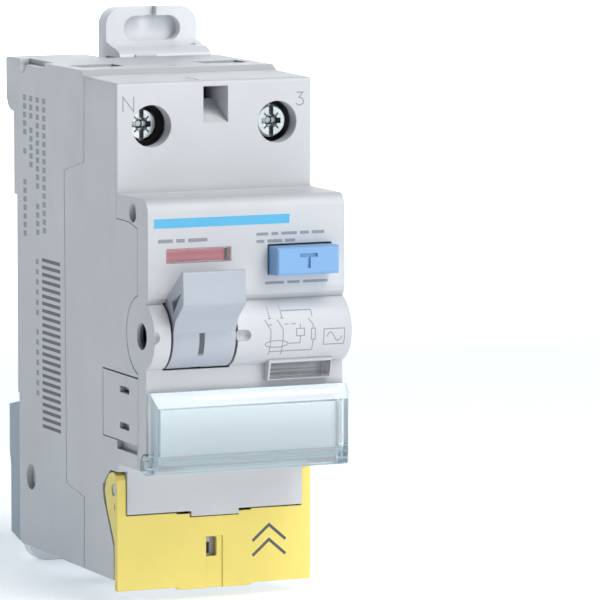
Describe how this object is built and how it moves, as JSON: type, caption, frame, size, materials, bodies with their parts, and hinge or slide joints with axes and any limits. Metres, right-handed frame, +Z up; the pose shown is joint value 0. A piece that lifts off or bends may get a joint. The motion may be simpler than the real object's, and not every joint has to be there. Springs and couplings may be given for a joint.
{
  "type": "residual current device",
  "caption": "Two-module rail-mounted residual current device with toggle, test button, indicator windows, clear label cover, hinged terminal flap and sliding rail clips.",
  "frame": {"origin": "middle of the width, on the rail seating plane, at the height of the rail's centre line", "axes": "+Y out of the back towards the rail, -Y out of the front, +Z up, +X to the right seen from the front"},
  "size_m": [0.035, 0.0724, 0.0959],
  "materials": {
    "housing_grey": "fine matte moulded texture, light grey",
    "clip_white": "satin moulded, very light grey",
    "guide_blue_grey": "satin moulded, blue-grey",
    "toggle_blue_grey": "satin moulded, pale blue-grey",
    "button_blue": "semi-gloss moulded blue",
    "flap_yellow": "satin moulded yellow",
    "cover_clear": "clear moulded, faint cyan tint",
    "lens_clear": "clear moulded lens",
    "flag_red": "matte red",
    "flag_dark": "matte dark grey",
    "card_white": "plain paper",
    "zinc_steel": "bright zinc plate",
    "spring_steel": "drawn wire",
    "copper": "plain copper",
    "enamel_copper": "enamelled winding",
    "core_tape": "wound tape",
    "relay_black": "matte black",
    "mechanism_cream": "matte natural thermoset",
    "resistor_beige": "lacquered ceramic",
    "wire_sleeve": "soft wire sleeve",
    "ink_grey": "grey pad print",
    "ink_dark": "dark pad print",
    "ink_blue": "light blue pad print"
  },
  "bodies": {
    "housing": {"rear_base": "housing_grey", "front_cover": "housing_grey", "nose_fascia": "housing_grey", "accessory_hatch_left": "housing_grey", "accessory_hatch_right": "housing_grey", "clip_guide": "guide_blue_grey", "label_card": "card_white", "contact_window": "lens_clear", "trip_window": "lens_clear", "carrier_pin": "zinc_steel", "contact_braids": "copper", "pole_lead_left": "copper", "pole_lead_right": "copper", "bar_upper_left": "copper", "bar_upper_right": "copper", "bar_lower_left": "copper", "bar_lower_right": "copper", "toroid_core": "core_tape", "toroid_winding": "enamel_copper", "sense_wires": "wire_sleeve", "relay_case": "relay_black", "relay_lid": "relay_black", "relay_coil": "enamel_copper", "relay_magnet": "core_tape", "trip_pin": "zinc_steel", "trip_bracket": "zinc_steel", "phase_barrier": "mechanism_cream", "test_resistor": "resistor_beige", "test_contact": "copper", "toggle_spring": "spring_steel", "test_spring": "spring_steel", "trip_spring": "spring_steel"},
    "toggle": {"toggle_lever": "toggle_blue_grey"},
    "link": {"toggle_link": "spring_steel"},
    "carrier": {"contact_carrier": "mechanism_cream", "contact_arm_left": "copper", "contact_arm_right": "copper", "contact_springs": "spring_steel"},
    "contact_flag": {"contact_flag": "flag_red"},
    "trip_flag": {"trip_flag": "flag_dark"},
    "plunger": {"relay_plunger": "zinc_steel"},
    "trip_lever": {"trip_lever": "mechanism_cream"},
    "test_button": {"test_button": "button_blue"},
    "label_cover": {"label_cover": "cover_clear"},
    "terminal_flap": {"terminal_flap": "flap_yellow"},
    "rail_clip_upper": {"rail_clip_upper": "clip_white"},
    "rail_clip_lower": {"rail_clip_lower": "clip_white"},
    "screw_upper_left": {"screw_upper_left": "zinc_steel"},
    "cage_upper_left": {"cage_upper_left": "zinc_steel"},
    "screw_upper_right": {"screw_upper_right": "zinc_steel"},
    "cage_upper_right": {"cage_upper_right": "zinc_steel"},
    "screw_lower_left": {"screw_lower_left": "zinc_steel"},
    "cage_lower_left": {"cage_lower_left": "zinc_steel"},
    "screw_lower_right": {"screw_lower_right": "zinc_steel"},
    "cage_lower_right": {"cage_lower_right": "zinc_steel"}
  },
  "joints": [
    {"name": "toggle_turn", "type": "hinge", "parent": "housing", "child": "toggle", "pos_m": [0, -0.0575, 0], "axis": [1, 0, 0], "range_deg": [0, 78], "deforming": ["toggle_spring"]},
    {"name": "link_turn", "type": "hinge", "parent": "toggle", "child": "link", "pos_m": [0, -0.05438, -0.00252], "axis": [1, 0, 0], "range_deg": [-78, 0]},
    {"name": "carrier_turn", "type": "hinge", "parent": "housing", "child": "carrier", "pos_m": [0, -0.04, -0.008], "axis": [1, 0, 0], "range_deg": [-26, 0], "deforming": ["contact_braids"]},
    {"name": "contact_flag_slide", "type": "slide", "parent": "housing", "child": "contact_flag", "axis": [0, 0, 1], "range_m": [0, 0.0032]},
    {"name": "trip_release", "type": "slide", "parent": "housing", "child": "plunger", "axis": [0, 0, -1], "range_m": [0, 0.0025]},
    {"name": "trip_lever_turn", "type": "hinge", "parent": "housing", "child": "trip_lever", "pos_m": [0, -0.046, -0.014], "axis": [1, 0, 0], "range_deg": [0, 20], "deforming": ["trip_spring"]},
    {"name": "trip_flag_slide", "type": "slide", "parent": "housing", "child": "trip_flag", "axis": [0, 0, -1], "range_m": [0, 0.0026]},
    {"name": "test_press", "type": "slide", "parent": "housing", "child": "test_button", "axis": [0, 1, 0], "range_m": [0, 0.0018], "stiffness_N_per_m": 400, "springref_m": -0.002, "deforming": ["test_spring"]},
    {"name": "label_cover_turn", "type": "hinge", "parent": "housing", "child": "label_cover", "pos_m": [0, -0.0586, -0.0212], "axis": [1, 0, 0], "range_deg": [0, 90]},
    {"name": "terminal_flap_turn", "type": "hinge", "parent": "housing", "child": "terminal_flap", "pos_m": [0, -0.0447, -0.0271], "axis": [1, 0, 0], "range_deg": [-85, 0]},
    {"name": "upper_clip_slide", "type": "slide", "parent": "housing", "child": "rail_clip_upper", "axis": [0, 0, -1], "range_m": [0, 0.0035]},
    {"name": "lower_clip_slide", "type": "slide", "parent": "housing", "child": "rail_clip_lower", "axis": [0, 0, -1], "range_m": [0, 0.0035]},
    {"name": "cage_slide_upper_left", "type": "slide", "parent": "housing", "child": "cage_upper_left", "axis": [0, -1, 0], "range_m": [0, 0.004]},
    {"name": "screw_turn_upper_left", "type": "hinge", "parent": "housing", "child": "screw_upper_left", "pos_m": [-0.01125, -0.04, 0.0333], "axis": [0, 1, 0], "range_deg": [0, 1800]},
    {"name": "cage_slide_upper_right", "type": "slide", "parent": "housing", "child": "cage_upper_right", "axis": [0, -1, 0], "range_m": [0, 0.004]},
    {"name": "screw_turn_upper_right", "type": "hinge", "parent": "housing", "child": "screw_upper_right", "pos_m": [0.01125, -0.04, 0.0333], "axis": [0, 1, 0], "range_deg": [0, 1800]},
    {"name": "cage_slide_lower_left", "type": "slide", "parent": "housing", "child": "cage_lower_left", "axis": [0, -1, 0], "range_m": [0, 0.004]},
    {"name": "screw_turn_lower_left", "type": "hinge", "parent": "housing", "child": "screw_lower_left", "pos_m": [-0.01125, -0.04, -0.0356], "axis": [0, 1, 0], "range_deg": [0, 1800]},
    {"name": "cage_slide_lower_right", "type": "slide", "parent": "housing", "child": "cage_lower_right", "axis": [0, -1, 0], "range_m": [0, 0.004]},
    {"name": "screw_turn_lower_right", "type": "hinge", "parent": "housing", "child": "screw_lower_right", "pos_m": [0.01125, -0.04, -0.0356], "axis": [0, 1, 0], "range_deg": [0, 1800]}
  ],
  "couplings": [
    {"joint": "link_turn", "follows": "toggle_turn", "ratio": -1},
    {"joint": "carrier_turn", "follows": "toggle_turn", "ratio": -0.33333},
    {"joint": "contact_flag_slide", "follows": "toggle_turn", "m_per_rad": 0.0023506},
    {"joint": "trip_lever_turn", "follows": "trip_release", "rad_per_m": 139.63},
    {"joint": "trip_flag_slide", "follows": "trip_release", "ratio": 1.04},
    {"joint": "screw_turn_upper_left", "follows": "cage_slide_upper_left", "rad_per_m": 7854},
    {"joint": "screw_turn_upper_right", "follows": "cage_slide_upper_right", "rad_per_m": 7854},
    {"joint": "screw_turn_lower_left", "follows": "cage_slide_lower_left", "rad_per_m": 7854},
    {"joint": "screw_turn_lower_right", "follows": "cage_slide_lower_right", "rad_per_m": 7854}
  ]
}
